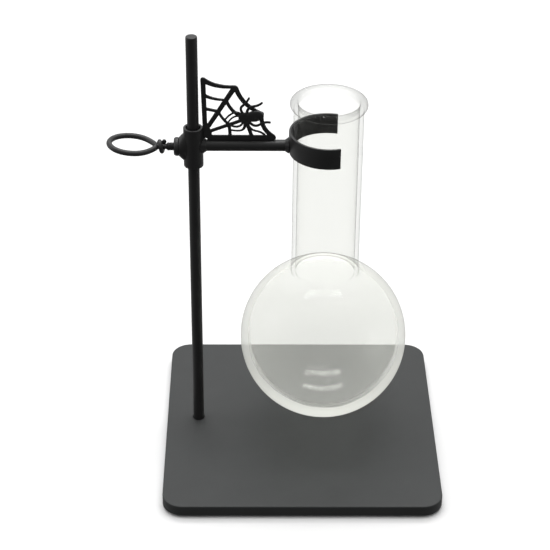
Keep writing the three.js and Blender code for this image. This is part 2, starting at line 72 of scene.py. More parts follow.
def computed(operation, *terms):
    """A Math node over sockets and plain numbers, in the sockets' own tree; its result socket."""
    tree = next(term for term in terms if not isinstance(term, (int, float))).id_data
    node = tree.nodes.new("ShaderNodeMath")
    node.operation = operation
    for place, term in enumerate(terms):
        if isinstance(term, (int, float)):
            node.inputs[place].default_value = term
        else:
            tree.links.new(term, node.inputs[place])
    return node.outputs["Value"]


def ranged(value, low, high, at_low, at_high, smooth=False):
    """A clamped Map Range of a socket; its result socket."""
    tree = value.id_data
    node = tree.nodes.new("ShaderNodeMapRange")
    node.interpolation_type = "SMOOTHSTEP" if smooth else "LINEAR"
    node.inputs["From Min"].default_value = low
    node.inputs["From Max"].default_value = high
    node.inputs["To Min"].default_value = at_low
    node.inputs["To Max"].default_value = at_high
    tree.links.new(value, node.inputs["Value"])
    return node.outputs["Result"]


# The walls of the tent: brightest above and behind, dimmer towards the camera and the table.
world = bpy.data.worlds.new("tent")
bpy.context.scene.world = world
world.use_nodes = True
sky = world.node_tree
background = sky.nodes["Background"]
background.inputs["Color"].default_value = (1, 1, 1, 1)
direction = sky.nodes.new("ShaderNodeTexCoord")
parts = sky.nodes.new("ShaderNodeSeparateXYZ")
sky.links.new(direction.outputs["Generated"], parts.inputs["Vector"])
backwards = ranged(parts.outputs["Y"], -0.8, 0.3, 0.2, 0.98)
upwards = ranged(parts.outputs["Z"], 0.5, 0.95, 0.0, 0.4)
above_table = ranged(parts.outputs["Z"], -0.25, 0.15, 0.45, 1.0)
strength = computed("MULTIPLY", computed("ADD", backwards, upwards), above_table)
sky.links.new(strength, background.inputs["Strength"])


def soft_light(name, place, aim, length, width, power):
    """A soft box at a place, turned towards a point."""
    lamp = bpy.data.lights.new(name, "AREA")
    lamp.shape = "RECTANGLE"
    lamp.size = length
    lamp.size_y = width
    lamp.energy = power
    box = bpy.data.objects.new(name, lamp)
    box.location = place
    box.rotation_euler = (Vector(aim) - Vector(place)).to_track_quat("-Z", "Y").to_euler()
    bpy.context.scene.collection.objects.link(box)


soft_light("overhead_box", (0.1, 0.35, 1.35), (0, 0, 0.08), 1.1, 1.1, 1.5)
soft_light("front_strip", (0.0, 0.08, 1.25), (0, 0, 0.03), 1.0, 0.2, 5.0)
soft_light("left_box", (-1.3, 0.1, 0.45), (0, 0, 0.15), 0.7, 0.7, 2.0)
soft_light("back_strip", (0.0, 0.62, 1.15), (0, 0, 0.03), 1.0, 0.2, 5.0)

SENSOR_WIDTH = 36
FOCAL_LENGTH = 114.76
CAMERA_PLACE = (-0.024736, -0.788754, 0.615236)
CAMERA_DOWN = math.radians(32.883)
CAMERA_RIGHT = math.radians(0.711)
CAMERA_ROLL = math.radians(0.501)
lens = bpy.data.cameras.new("camera")
lens.sensor_width = SENSOR_WIDTH
lens.lens = FOCAL_LENGTH
lens.clip_start = 0.01
camera = bpy.data.objects.new("camera", lens)
camera.matrix_world = (
    Matrix.Translation(CAMERA_PLACE)
    @ Matrix.Rotation(-CAMERA_RIGHT, 4, "Z")
    @ Matrix.Rotation(math.pi / 2 - CAMERA_DOWN, 4, "X")
    @ Matrix.Rotation(CAMERA_ROLL, 4, "Z")
)
bpy.context.scene.collection.objects.link(camera)
bpy.context.scene.camera = camera
bpy.context.scene.view_settings.view_transform = "Standard"


# ---- Anti-slip pad ------------------------------------------------------------------------
# A die-cut sheet of fine foam rubber stuck under the plate, a little smaller than it.
# It is cut flat, so only its edge and underside show.


def add_ring(bm, points):
    """A closed ring of edges through points."""
    corners = [bm.verts.new(point) for point in points]
    return [bm.edges.new((corners[i - 1], corners[i])) for i in range(len(corners))]


def rounded_square(half, corner, height, steps=12):
    """Points round a square with round corners, at a height."""
    points = []
    for quarter in range(4):
        turn = Matrix.Rotation(quarter * math.pi / 2, 3, "Z")
        for step in range(steps + 1):
            angle = step / steps * math.pi / 2
            x = half - corner + corner * math.cos(angle)
            y = half - corner + corner * math.sin(angle)
            points.append(turn @ Vector((x, y, height)))
    return points


def bridge(bm, rings):
    """Walls from each ring of edges to the next."""
    for first, second in zip(rings, rings[1:]):
        bmesh.ops.bridge_loops(bm, edges=first + second)


def face_outwards(bm):
    """Joins corners that meet and turns every face outwards."""
    bmesh.ops.remove_doubles(bm, verts=bm.verts, dist=1e-7)
    bmesh.ops.recalc_face_normals(bm, faces=bm.faces)


def make_piece(name, bm, finish, body, slot, *nodes, crease=math.radians(38)):
    """The shape as an object with its finish, riding on its body in place of its plain solids."""
    mesh = bpy.data.meshes.new(name)
    bm.to_mesh(mesh)
    bm.free()
    mesh.shade_smooth()
    mesh.set_sharp_from_angle(angle=crease)
    mesh.materials.append(finish)
    made = bpy.data.objects.new(name, mesh)
    bpy.context.scene.collection.objects.link(made)
    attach(made, body)
    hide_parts(*nodes)


CLOUD_SIZE = 60
GLOSS_CHANGE = 0.06
RELIEF_STRENGTH = 0.6


def mottle(place, scale, detail):
    """Random noise over a socket of places; its value socket."""
    tree = place.id_data
    noise = tree.nodes.new("ShaderNodeTexNoise")
    noise.inputs["Scale"].default_value = scale
    noise.inputs["Detail"].default_value = detail
    tree.links.new(place, noise.inputs["Vector"])
    return noise.outputs["Fac"]


def grained(name, dark, light, grain, roughness, bump, specular, metallic=0.0):
    """A finish with a fine random grain: two tones, a little change of gloss, and relief."""
    finish = bpy.data.materials.new(name)
    finish.use_nodes = True
    tree = finish.node_tree
    shader = tree.nodes["Principled BSDF"]
    shader.inputs["Metallic"].default_value = metallic
    shader.inputs["Specular IOR Level"].default_value = specular
    place = tree.nodes.new("ShaderNodeTexCoord").outputs["Object"]
    speckle = mottle(place, 1 / grain, 3)
    cloud = mottle(place, 1 / (CLOUD_SIZE * grain), 4)
    tone = computed("MULTIPLY_ADD", speckle, 0.5, computed("MULTIPLY", cloud, 0.5))
    colours = tree.nodes.new("ShaderNodeValToRGB")
    colours.color_ramp.elements[0].position = 0.3
    colours.color_ramp.elements[0].color = (*dark, 1)
    colours.color_ramp.elements[1].position = 0.7
    colours.color_ramp.elements[1].color = (*light, 1)
    tree.links.new(tone, colours.inputs["Fac"])
    tree.links.new(colours.outputs["Color"], shader.inputs["Base Color"])
    gloss = ranged(cloud, 0.0, 1.0, roughness - GLOSS_CHANGE, roughness + GLOSS_CHANGE)
    tree.links.new(gloss, shader.inputs["Roughness"])
    relief = tree.nodes.new("ShaderNodeBump")
    relief.inputs["Distance"].default_value = bump
    relief.inputs["Strength"].default_value = RELIEF_STRENGTH
    tree.links.new(speckle, relief.inputs["Height"])
    tree.links.new(relief.outputs["Normal"], shader.inputs["Normal"])
    return finish


MM = 0.001
PAD_CORNER = 8 * MM
PAD_EDGE = 0.12 * MM
foam_rubber = grained("foam_rubber", (0.008,) * 3, (0.03,) * 3, 0.35 * MM, 0.9, 0.08 * MM, 0.3)

pad_low, pad_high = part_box("anti_slip_pad")
pad_half = pad_high.x
bm = bmesh.new()
pad_rings = [
    add_ring(bm, rounded_square(pad_half - PAD_EDGE, PAD_CORNER, pad_high.z)),
    add_ring(bm, rounded_square(pad_half, PAD_CORNER, pad_high.z - PAD_EDGE)),
    add_ring(bm, rounded_square(pad_half, PAD_CORNER, pad_low.z + PAD_EDGE)),
    add_ring(bm, rounded_square(pad_half - PAD_EDGE, PAD_CORNER, pad_low.z)),
]
bridge(bm, pad_rings)
bmesh.ops.edgeloop_fill(bm, edges=pad_rings[0])
bmesh.ops.edgeloop_fill(bm, edges=pad_rings[-1])
face_outwards(bm)
make_piece("foam_pad", bm, foam_rubber, "foot", "pad_rubber", "anti_slip_pad")


# ---- Foot plate ---------------------------------------------------------------------------
# Flat steel plate with laser-cut round corners and eased edges, powder-coated matt charcoal.
# A stepped hole takes the rod from above and the foot screw's head from below.

PLATE_CORNER = 11 * MM
PLATE_EDGE = 0.6 * MM
ROD_SEAT_DEPTH = 1.5 * MM
ROD_CLEARANCE = 0.2 * MM
SCREW_CLEARANCE = 2.2 * MM
COUNTERBORE_RADIUS = 4.3 * MM
COUNTERBORE_DEPTH = 3.3 * MM
HOLE_EDGE = 0.25 * MM
EDGE_STEPS = 5

plate_coat = grained(
    "charcoal_coat", (0.032, 0.034, 0.034), (0.044, 0.046, 0.046), 0.3 * MM, 0.6, 0.03 * MM, 0.28
)


def circle(centre, radius, height, sides=52):
    """Points round a level circle."""
    points = []
    for side in range(sides):
        angle = 2 * math.pi * side / sides
        x = centre.x + radius * math.cos(angle)
        points.append(Vector((x, centre.y + radius * math.sin(angle), height)))
    return points


plate_low, plate_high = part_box("base_plate")
rod_low, rod_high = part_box("support_rod")
rod_axis = (rod_low + rod_high) / 2
rod_radius = (rod_high.x - rod_low.x) / 2

bm = bmesh.new()
plate_rings = []
for level, side in ((plate_high.z, -1), (plate_low.z, 1)):
    for step in range(EDGE_STEPS + 1):
        part = step if side < 0 else EDGE_STEPS - step
        angle = part / EDGE_STEPS * math.pi / 2
        half = plate_high.x - PLATE_EDGE * (1 - math.sin(angle))
        height = level + side * PLATE_EDGE * (1 - math.cos(angle))
        corner = PLATE_CORNER - plate_high.x + half
        plate_rings.append(add_ring(bm, rounded_square(half, corner, height)))
seat = plate_high.z - ROD_SEAT_DEPTH
ledge = plate_low.z + COUNTERBORE_DEPTH
rod_hole = rod_radius + ROD_CLEARANCE
hole_rings = [
    add_ring(bm, circle(rod_axis, radius, height))
    for radius, height in (
        (rod_hole + HOLE_EDGE, plate_high.z),
        (rod_hole, plate_high.z - HOLE_EDGE),
        (rod_hole, seat),
        (SCREW_CLEARANCE, seat),
        (SCREW_CLEARANCE, ledge),
        (COUNTERBORE_RADIUS, ledge),
        (COUNTERBORE_RADIUS, plate_low.z + HOLE_EDGE),
        (COUNTERBORE_RADIUS + HOLE_EDGE, plate_low.z),
    )
]
bridge(bm, plate_rings)
bridge(bm, hole_rings)
bmesh.ops.triangle_fill(bm, use_beauty=True, edges=plate_rings[0] + hole_rings[0])
bmesh.ops.triangle_fill(bm, use_beauty=True, edges=plate_rings[-1] + hole_rings[-1])
face_outwards(bm)
make_piece("foot_plate", bm, plate_coat, "foot", "plate_coat", "base_plate")


# ---- Rod ----------------------------------------------------------------------------------
# Six millimetre round steel bar with an eased top end, coated semi-matt black.
# Its foot is tapped for the screw that holds it to the plate.


def turn(bm, profile, steps):
    """Spins a profile of (radius, height) points once round +Z at the origin."""
    corners = [bm.verts.new((radius, 0, height)) for radius, height in profile]
    line = [bm.edges.new(pair) for pair in zip(corners, corners[1:])]
    bmesh.ops.spin(
        bm, geom=corners + line, cent=(0, 0, 0), axis=(0, 0, 1), dvec=(0, 0, 0),
        angle=2 * math.pi, steps=steps, use_merge=True,
    )
    face_outwards(bm)


def rounded(profile, radius, steps=3):
    """The profile with its bends rounded, other than its two ends."""
    points = [Vector(point) for point in profile]
    smooth = [points[0]]
    for before, bend, after in zip(points, points[1:], points[2:]):
        room = min((before - bend).length, (after - bend).length) / 2
        reach = min(radius, 0.95 * room)
        start = bend + (before - bend).normalized() * reach
        end = bend + (after - bend).normalized() * reach
        for step in range(steps + 1):
            t = step / steps
            smooth.append(start * (1 - t) ** 2 + bend * (2 * t * (1 - t)) + end * t ** 2)
    smooth.append(points[-1])
    return smooth


black_coat = grained(
    "black_coat", (0.018, 0.018, 0.0182), (0.026, 0.026, 0.0263), 0.25 * MM, 0.4, 0.025 * MM, 0.34
)

ROD_END_ROUND = 0.8 * MM
TAPPED_RADIUS = 2.1 * MM
TAPPED_DEPTH = 13 * MM
bm = bmesh.new()
turn(bm, [(0, rod_low.z + TAPPED_DEPTH), *rounded([
    (TAPPED_RADIUS, rod_low.z + TAPPED_DEPTH),
    (TAPPED_RADIUS, rod_low.z),
    (rod_radius, rod_low.z),
    (rod_radius, rod_high.z),
    (0, rod_high.z),
], ROD_END_ROUND, steps=5)], steps=64)
bmesh.ops.translate(bm, verts=bm.verts, vec=(rod_axis.x, rod_axis.y, 0))
make_piece("rod", bm, black_coat, "foot", "black_coat", "support_rod")


# ---- Foot screw and lock washer -----------------------------------------------------------
# A zinc-plated M4 socket screw comes up through the plate into the rod, over a split washer.
# Its thread is cut at 0.7 mm pitch.

THREAD_PITCH = 0.7 * MM
THREAD_DEPTH = 0.32 * MM
THREAD_ROWS = 10
RUN_OUT = 0.6 * MM
TOUCH = 0.01 * MM


def cut_thread(bm, radius, bottom, top):
    """Sinks a helical groove into a turned shank between two heights."""
    for vert in bm.verts:
        reach = math.hypot(vert.co.x, vert.co.y)
        on_skin = reach > 0.98 * radius
        if not (on_skin and bottom < vert.co.z < top):
            continue
        turns = vert.co.z / THREAD_PITCH - math.atan2(vert.co.y, vert.co.x) / (2 * math.pi)
        wave = abs(2 * (turns % 1) - 1)
        cut = min(1, (vert.co.z - bottom) / RUN_OUT, (top - vert.co.z) / RUN_OUT)
        shrink = 1 - THREAD_DEPTH * cut * (1 - wave) / radius
        vert.co.x *= shrink
        vert.co.y *= shrink


def shank(radius, bottom, top):
    """Profile points up a shank, close enough together to carry a thread."""
    rows = math.ceil((top - bottom) / THREAD_PITCH * THREAD_ROWS)
    return [(radius, bottom + (top - bottom) * row / rows) for row in range(rows + 1)]


zinc = grained(
    "zinc_plate", (0.42, 0.43, 0.45), (0.6, 0.61, 0.62), 0.5 * MM, 0.34, 0.01 * MM, 0.5, 1.0
)

foot_screw_low, foot_screw_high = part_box("foot_screw")
SCREW_RADIUS = 2 * MM
HEAD_RADIUS = 3.8 * MM
HEAD_HEIGHT = 2.3 * MM
SOCKET_RADIUS = 1.4 * MM
SOCKET_DEPTH = 1.4 * MM
SOCKET_SIDE = math.radians(60)
HEAD_EDGE = 0.35 * MM
POINT = 0.4 * MM
head_bottom = foot_screw_low.z
head_top = head_bottom + HEAD_HEIGHT
socket_top = head_bottom + SOCKET_DEPTH
thread_top = foot_screw_high.z - POINT
bm = bmesh.new()
head_profile = rounded([
    (SOCKET_RADIUS, socket_top),
    (SOCKET_RADIUS, head_bottom),
    (HEAD_RADIUS, head_bottom),
    (HEAD_RADIUS, head_top),
    (SCREW_RADIUS, head_top),
], HEAD_EDGE)
turn(bm, [
    (0, socket_top), *head_profile,
    *shank(SCREW_RADIUS, head_top + 0.2 * MM, thread_top),
    (SCREW_RADIUS - POINT, foot_screw_high.z), (0, foot_screw_high.z),
], steps=48)
for vert in bm.verts:
    # The socket is six-sided.
    reach = math.hypot(vert.co.x, vert.co.y)
    if 0 < reach < SOCKET_RADIUS + TOUCH and vert.co.z < socket_top + TOUCH:
        angle = math.atan2(vert.co.y, vert.co.x)
        offset = (angle + SOCKET_SIDE / 2) % SOCKET_SIDE - SOCKET_SIDE / 2
        vert.co.x *= math.cos(SOCKET_SIDE / 2) / math.cos(offset)
        vert.co.y *= math.cos(SOCKET_SIDE / 2) / math.cos(offset)
cut_thread(bm, SCREW_RADIUS, head_top + 1 * MM, thread_top)
bmesh.ops.translate(bm, verts=bm.verts, vec=(rod_axis.x, rod_axis.y, 0))
make_piece("socket_screw", bm, zinc, "foot", "zinc", "foot_screw")


def split_ring(bm, inner, outer, bottom, top, half_angle, middle_angle, edge, steps):
    """A ring of rectangular section with a gap, eased along its edges."""
    section = rounded([
        ((inner + outer) / 2, bottom), (outer, bottom), (outer, top),
        (inner, top), (inner, bottom), ((inner + outer) / 2, bottom),
    ], edge, steps=2)
    start = Matrix.Rotation(middle_angle - half_angle, 3, "Z")
    rings = []
    for step in range(steps + 1):
        spin = Matrix.Rotation(2 * half_angle * step / steps, 3, "Z") @ start
        rings.append(add_ring(bm, [spin @ Vector((r, 0, z)) for r, z in section[:-1]]))
    bridge(bm, rings)
    bmesh.ops.edgeloop_fill(bm, edges=rings[0])
    bmesh.ops.edgeloop_fill(bm, edges=rings[-1])
    face_outwards(bm)


washer_low, washer_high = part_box("foot_lock_washer")
WASHER_INNER = 2.2 * MM
WASHER_HALF_ANGLE = math.radians(174)
WASHER_EDGE = 0.12 * MM
bm = bmesh.new()
split_ring(
    bm, WASHER_INNER, HEAD_RADIUS, washer_low.z, washer_high.z,
    WASHER_HALF_ANGLE, math.pi, WASHER_EDGE, steps=48,
)
bmesh.ops.translate(bm, verts=bm.verts, vec=(rod_axis.x, rod_axis.y, 0))
make_piece("split_washer", bm, zinc, "foot", "zinc", "foot_lock_washer")


# ---- Slide bush ---------------------------------------------------------------------------
# A split sleeve of black nylon between the rod and the collar, so that the coat isn't scraped.
# It is sprung on over the rod, and its slit closes when the thumb screw is tightened.

nylon = grained("black_nylon", (0.016,) * 3, (0.028,) * 3, 0.2 * MM, 0.55, 0.01 * MM, 0.4)

bush_low, bush_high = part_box("slide_bush")
BUSH_INNER = 3.15 * MM
BUSH_OUTER = 3.7 * MM
BUSH_HALF_ANGLE = math.radians(170.7)
BUSH_EDGE = 0.12 * MM
bm = bmesh.new()
split_ring(
    bm, BUSH_INNER, BUSH_OUTER, bush_low.z, bush_high.z,
    BUSH_HALF_ANGLE, math.pi, BUSH_EDGE, steps=64,
)
bmesh.ops.translate(bm, verts=bm.verts, vec=(rod_axis.x, rod_axis.y, 0))
make_piece("split_bush", bm, nylon, "bush", "nylon", "slide_bush")


# ---- Collar -------------------------------------------------------------------------------
# A short length of tube with a round boss brazed to its left side, the joint filled and
# dressed so that the boss flares into the tube, then coated black with the arm.

arm_low, arm_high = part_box("arm_rod")
arm_height = (arm_low.z + arm_high.z) / 2
arm_radius = (arm_high.z - arm_low.z) / 2
nut_low, nut_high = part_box("screw_nut")
screw_height = (nut_low.z + nut_high.z) / 2
collar_low, collar_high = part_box("collar")
COLLAR_BORE = 3.85 * MM
COLLAR_RIM = 0.3 * MM
collar_radius = (collar_high.y - collar_low.y) / 2
boss_face = rod_axis.x - collar_low.x
BOSS_RADIUS = 4.9 * MM
BOSS_ROOT = 3 * MM
BOSS_ROOT_HALF_WIDTH = 3.9 * MM
BOSS_ROOT_HALF_HEIGHT = 8.5 * MM
BOSS_STEPS = 12
SCREW_BORE = 2.4 * MM
BORE_MARGIN = 2 * MM
COLLAR_VOXEL = 0.18 * MM


def upright_axis(x, y):
    """Places a shape turned round +Z on an upright axis."""
    return Matrix.Translation((x, y, 0))


def screw_axis():
    """Places a shape turned round +Z so that it points left along the thumb screw."""
    return Matrix.Translation((rod_axis.x, rod_axis.y, screw_height)) @ Matrix.Rotation(
        -math.pi / 2, 4, "Y"
    )


def solid_object(bm, name):
    """A plain object from a shape, for joining to and cutting from others."""
    mesh = bpy.data.meshes.new(name)
    bm.to_mesh(mesh)
    bm.free()
    made = bpy.data.objects.new(name, mesh)
    bpy.context.scene.collection.objects.link(made)
    return made


def applied(source, *discarded):
    """The object's mesh with its modifiers applied, as a new bmesh; the objects are removed."""
    bpy.context.view_layer.update()
    view = bpy.context.evaluated_depsgraph_get()
    shape = bmesh.new()
    shape.from_object(source, view)
    for spent in (source, *discarded):
        bpy.data.objects.remove(spent)
    return shape


def combine(whole, other, operation):
    """Joins another solid to this one, or cuts it away."""
    change = whole.modifiers.new(operation.lower(), "BOOLEAN")
    change.object = other
    change.operation = operation
    change.solver = "MANIFOLD"


def fuse(whole, voxel, passes, coat=0.0):
    """Melts an object's solids into one skin with soft joints, under a coat of some thickness."""
    skin = whole.modifiers.new("skin", "REMESH")
    skin.mode = "VOXEL"
    skin.voxel_size = voxel
    ease = whole.modifiers.new("ease", "SMOOTH")
    ease.factor = 0.5
    ease.iterations = passes
    if coat:
        film = whole.modifiers.new("film", "DISPLACE")
        film.mid_level = 0
        film.strength = coat


bm = bmesh.new()
turn(bm, [(0, collar_low.z), *rounded([
    (collar_radius, collar_low.z), (collar_radius, collar_high.z), (0, collar_high.z),
], COLLAR_RIM)], steps=64)
bmesh.ops.transform(bm, verts=bm.verts, matrix=upright_axis(rod_axis.x, rod_axis.y))
tube = solid_object(bm, "tube")

bm = bmesh.new()
boss_profile = [(0, BOSS_ROOT)]
for step in range(BOSS_STEPS + 1):
    boss_profile.append((1, BOSS_ROOT + (boss_face - BOSS_ROOT) * step / BOSS_STEPS))
turn(bm, [*boss_profile, (0, boss_face)], steps=64)
for vert in bm.verts:
    towards_root = (boss_face - vert.co.z) / (boss_face - BOSS_ROOT)
    flare = math.sin(towards_root * math.pi / 2)
    vert.co.x *= BOSS_RADIUS + (BOSS_ROOT_HALF_HEIGHT - BOSS_RADIUS) * flare
    vert.co.y *= BOSS_RADIUS + (BOSS_ROOT_HALF_WIDTH - BOSS_RADIUS) * towards_root ** 2
bmesh.ops.transform(bm, verts=bm.verts, matrix=screw_axis())
boss = solid_object(bm, "boss")

bm = bmesh.new()
turn(bm, [
    (0, collar_low.z - BORE_MARGIN), (COLLAR_BORE, collar_low.z - BORE_MARGIN),
    (COLLAR_BORE, collar_high.z + BORE_MARGIN), (0, collar_high.z + BORE_MARGIN),
], steps=64)
bmesh.ops.transform(bm, verts=bm.verts, matrix=upright_axis(rod_axis.x, rod_axis.y))
rod_bore = solid_object(bm, "rod_bore")

bm = bmesh.new()
turn(bm, [
    (0, 0), (SCREW_BORE, 0), (SCREW_BORE, boss_face + BORE_MARGIN), (0, boss_face + BORE_MARGIN),
], steps=48)
bmesh.ops.transform(bm, verts=bm.verts, matrix=screw_axis())
screw_bore = solid_object(bm, "screw_bore")

combine(tube, boss, "UNION")
combine(tube, rod_bore, "DIFFERENCE")
combine(tube, screw_bore, "DIFFERENCE")
fuse(tube, COLLAR_VOXEL, passes=4)
bm = applied(tube, boss, rod_bore, screw_bore)
make_piece("collar_casting", bm, black_coat, "clamp", "black_coat", "collar", crease=math.pi)


# ---- Lock nut -----------------------------------------------------------------------------
# A round threaded nut run up against the boss, domed at its outer face. It is turned from
# bar, and its thread takes the thumb screw.

NUT_DOME = 0.9 * MM
NUT_DOME_WIDTH = 0.6 * MM
NUT_EDGE = 0.35 * MM
nut_radius = (nut_high.z - nut_low.z) / 2
nut_start = rod_axis.x - nut_high.x
nut_end = rod_axis.x - nut_low.x
bm = bmesh.new()
nut_profile = rounded([
    (nut_radius - 1 * MM, nut_start), (nut_radius, nut_start), (nut_radius, nut_end - NUT_DOME),
    (nut_radius - NUT_DOME_WIDTH, nut_end), (SCREW_BORE, nut_end), (SCREW_BORE, nut_start),
    (nut_radius - 1 * MM, nut_start),
], NUT_EDGE, steps=4)
turn(bm, nut_profile, steps=72)
bmesh.ops.transform(bm, verts=bm.verts, matrix=screw_axis())
make_piece("lock_nut", bm, black_coat, "clamp", "black_coat", "screw_nut")


# ---- Thumb screw --------------------------------------------------------------------------
# An M4 screw with a nylon tip that bears on the bush. Wire is wound round its neck and
# brazed, and holds an oval ring of wire that serves as the handle.

tip_low, tip_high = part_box("pressure_tip")
tip_radius = (tip_high.z - tip_low.z) / 2
tip_start = rod_axis.x - tip_high.x
tip_end = rod_axis.x - tip_low.x
TURNED_EDGE = 0.3 * MM
bm = bmesh.new()
turn(bm, [(0, tip_start), *rounded([
    (tip_radius, tip_start), (tip_radius, tip_end), (0, tip_end),
], TURNED_EDGE)], steps=48)
bmesh.ops.transform(bm, verts=bm.verts, matrix=screw_axis())
make_piece("nylon_tip", bm, nylon, "screw_tip", "nylon", "pressure_tip")

shank_low, shank_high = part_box("thumb_screw_shank")
shank_radius = (shank_high.z - shank_low.z) / 2
shank_start = rod_axis.x - shank_high.x
shank_end = rod_axis.x - shank_low.x
SHOULDER = 13.2 * MM
NECK_RADIUS = 1.45 * MM
bm = bmesh.new()
turn(bm, [
    (0, shank_start), (shank_radius - TURNED_EDGE, shank_start),
    *shank(shank_radius, shank_start + TURNED_EDGE, SHOULDER),
    *rounded([
        (NECK_RADIUS + 0.2 * MM, SHOULDER + 0.3 * MM), (NECK_RADIUS, SHOULDER + 0.6 * MM),
        (NECK_RADIUS, shank_end), (0, shank_end),
    ], TURNED_EDGE),
], steps=64)
cut_thread(bm, shank_radius, shank_start, SHOULDER)
bmesh.ops.transform(bm, verts=bm.verts, matrix=screw_axis())
make_piece("thumb_screw", bm, black_coat, "thumb_screw", "black_coat", "thumb_screw_shank")


DOME_STEPS = 4
DOME_LENGTH = 0.35


def wire(bm, path, radius, sides):
    """A round wire along a path, with domed ends."""
    first = (path[1] - path[0]).normalized()
    last = (path[-1] - path[-2]).normalized()
    start = []
    end = []
    for step in range(1, DOME_STEPS + 1):
        angle = step / DOME_STEPS * math.pi / 2
        size = radius * math.sin(angle)
        start.append((path[0] - first * radius * DOME_LENGTH * math.cos(angle), first, size))
        end.append((path[-1] + last * radius * DOME_LENGTH * math.cos(angle), last, size))
    middle = [
        (here, (after - before).normalized(), radius)
        for before, here, after in zip(path, path[1:], path[2:])
    ]
    spin = Vector((0, 0, 1)).rotation_difference(first)
    before = first
    rings = []
    for place, along, size in (*start, *middle, *reversed(end)):
        spin = before.rotation_difference(along) @ spin
        before = along
        around = circle(Vector(), size, 0, sides)
        rings.append(add_ring(bm, [place + spin @ point for point in around]))
    bridge(bm, rings)
    bmesh.ops.edgeloop_fill(bm, edges=rings[0])
    bmesh.ops.edgeloop_fill(bm, edges=rings[-1])
    face_outwards(bm)


KNOT_WIRE = 1.1 * MM
KNOT_COIL = 2.65 * MM
KNOT_PITCH = 2.35 * MM
KNOT_TURNS = 1.25
KNOT_STEPS = 48
knot_start = rod_axis.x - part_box("ring_knot")[1].x + KNOT_WIRE
knot_path = []
for step in range(KNOT_STEPS + 1):
    turns = KNOT_TURNS * step / KNOT_STEPS
    angle = 2 * math.pi * turns
    knot_path.append(Vector((
        rod_axis.x - knot_start - KNOT_PITCH * turns,
        rod_axis.y + KNOT_COIL * math.sin(angle),
        screw_height + KNOT_COIL * math.cos(angle),
    )))
bm = bmesh.new()
wire(bm, knot_path, KNOT_WIRE, sides=20)
make_piece("wire_knot", bm, black_coat, "thumb_screw", "black_coat", "ring_knot")

RING_WIRE = 1.45 * MM
RING_RISE = 2.1 * MM
RING_END_GAP = 0.4 * MM
RING_DRAWN_IN = 1.7 * MM
RING_DRAWN_ANGLE = 0.42
RING_STEPS = 96
ring_low, ring_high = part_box("ring_handle")
ring_middle = (ring_low + ring_high) / 2
ring_half_length = (ring_high.x - ring_low.x) / 2 - RING_WIRE
ring_half_width = (ring_high.y - ring_low.y) / 2 - RING_WIRE
ring_path = []
gap_angle = 1.2 * RING_END_GAP / ring_half_width
for step in range(RING_STEPS + 1):
    angle = gap_angle + (2 * math.pi - 2 * gap_angle) * step / RING_STEPS
    from_knot = min(angle, 2 * math.pi - angle)
    drawn_in = RING_DRAWN_IN * math.exp(-(from_knot / RING_DRAWN_ANGLE) ** 2)
    ring_path.append(Vector((
        ring_middle.x + ring_half_length * math.cos(angle) + drawn_in,
        ring_middle.y + ring_half_width * math.sin(angle),
        screw_height + RING_RISE * (1 - math.cos(angle)) / 2,
    )))
bm = bmesh.new()
wire(bm, ring_path, RING_WIRE, sides=28)
make_piece("wire_ring", bm, black_coat, "thumb_screw", "black_coat", "ring_handle")


# ---- Arm and its welds --------------------------------------------------------------------
# Six millimetre bar, cut square at both ends and welded to the collar and to the clip.
# The beads are laid in short dabs, which still show as ripples under the coat.


def arm_axis():
    """Places a shape turned round +Z so that it points right along the arm."""
    return Matrix.Translation((rod_axis.x, rod_axis.y, arm_height)) @ Matrix.Rotation(
        math.pi / 2, 4, "Y"
    )


arm_start = arm_low.x - rod_axis.x
arm_end = arm_high.x - rod_axis.x
bm = bmesh.new()
turn(bm, [(0, arm_start), *rounded([
    (arm_radius, arm_start), (arm_radius, arm_end), (0, arm_end),
], TURNED_EDGE)], steps=64)
bmesh.ops.transform(bm, verts=bm.verts, matrix=arm_axis())
make_piece("arm", bm, black_coat, "clamp", "black_coat", "arm_rod")

WELD_HEIGHT = 1.2 * MM
WELD_LENGTH = 1.9 * MM
WELD_GAP = 0.15 * MM
WELD_DABS = 11
WELD_RIPPLE = 0.1
WELD_WAIST = 0.42


def weld_bead(name, node, foot, tip, hug):
    """A rippled bead round the arm, from its foot, bent to its neighbour by hug, to its tip."""
    bm = bmesh.new()
    bore = arm_radius + 0.02 * MM
    middle = foot + WELD_WAIST * (tip - foot)
    turn(bm, rounded([
        (bore, middle), (bore, foot), (bore + WELD_HEIGHT, foot),
        (bore + 0.5 * WELD_HEIGHT, middle), (bore, tip), (bore, middle),
    ], 0.4 * MM, steps=4), steps=120)
    for vert in bm.verts:
        around = math.atan2(vert.co.y, vert.co.x)
        reach = math.hypot(vert.co.x, vert.co.y)
        rise = max(0, reach - bore) / WELD_HEIGHT
        ripple = WELD_RIPPLE * rise * abs(math.sin(WELD_DABS * around / 2))
        size = 1 + ripple * WELD_HEIGHT / reach * 2
        vert.co.x *= size
        vert.co.y *= size
        near = max(0, min(1, (tip - vert.co.z) / (tip - foot)))
        vert.co.z += near * hug(vert.co.y)
    face_outwards(bm)
    bmesh.ops.transform(bm, verts=bm.verts, matrix=arm_axis())
    make_piece(name, bm, black_coat, "clamp", "black_coat", node, crease=math.radians(60))


def hug_collar(side):
    """How far left the bead's foot goes to follow the round collar."""
    skin = collar_radius + WELD_GAP
    return math.sqrt(max(0, skin ** 2 - side ** 2)) - skin


clip_low, clip_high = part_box("clip_band")
flask_low, flask_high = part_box("flask")
flask_axis = (flask_low + flask_high) / 2
clip_outer = flask_axis.x - clip_low.x
clip_start = flask_axis.x - clip_outer - rod_axis.x


def hug_clip(side):
    """How far right the bead's foot goes to follow the round clip."""
    skin = clip_outer + WELD_GAP
    return skin - math.sqrt(skin ** 2 - side ** 2)


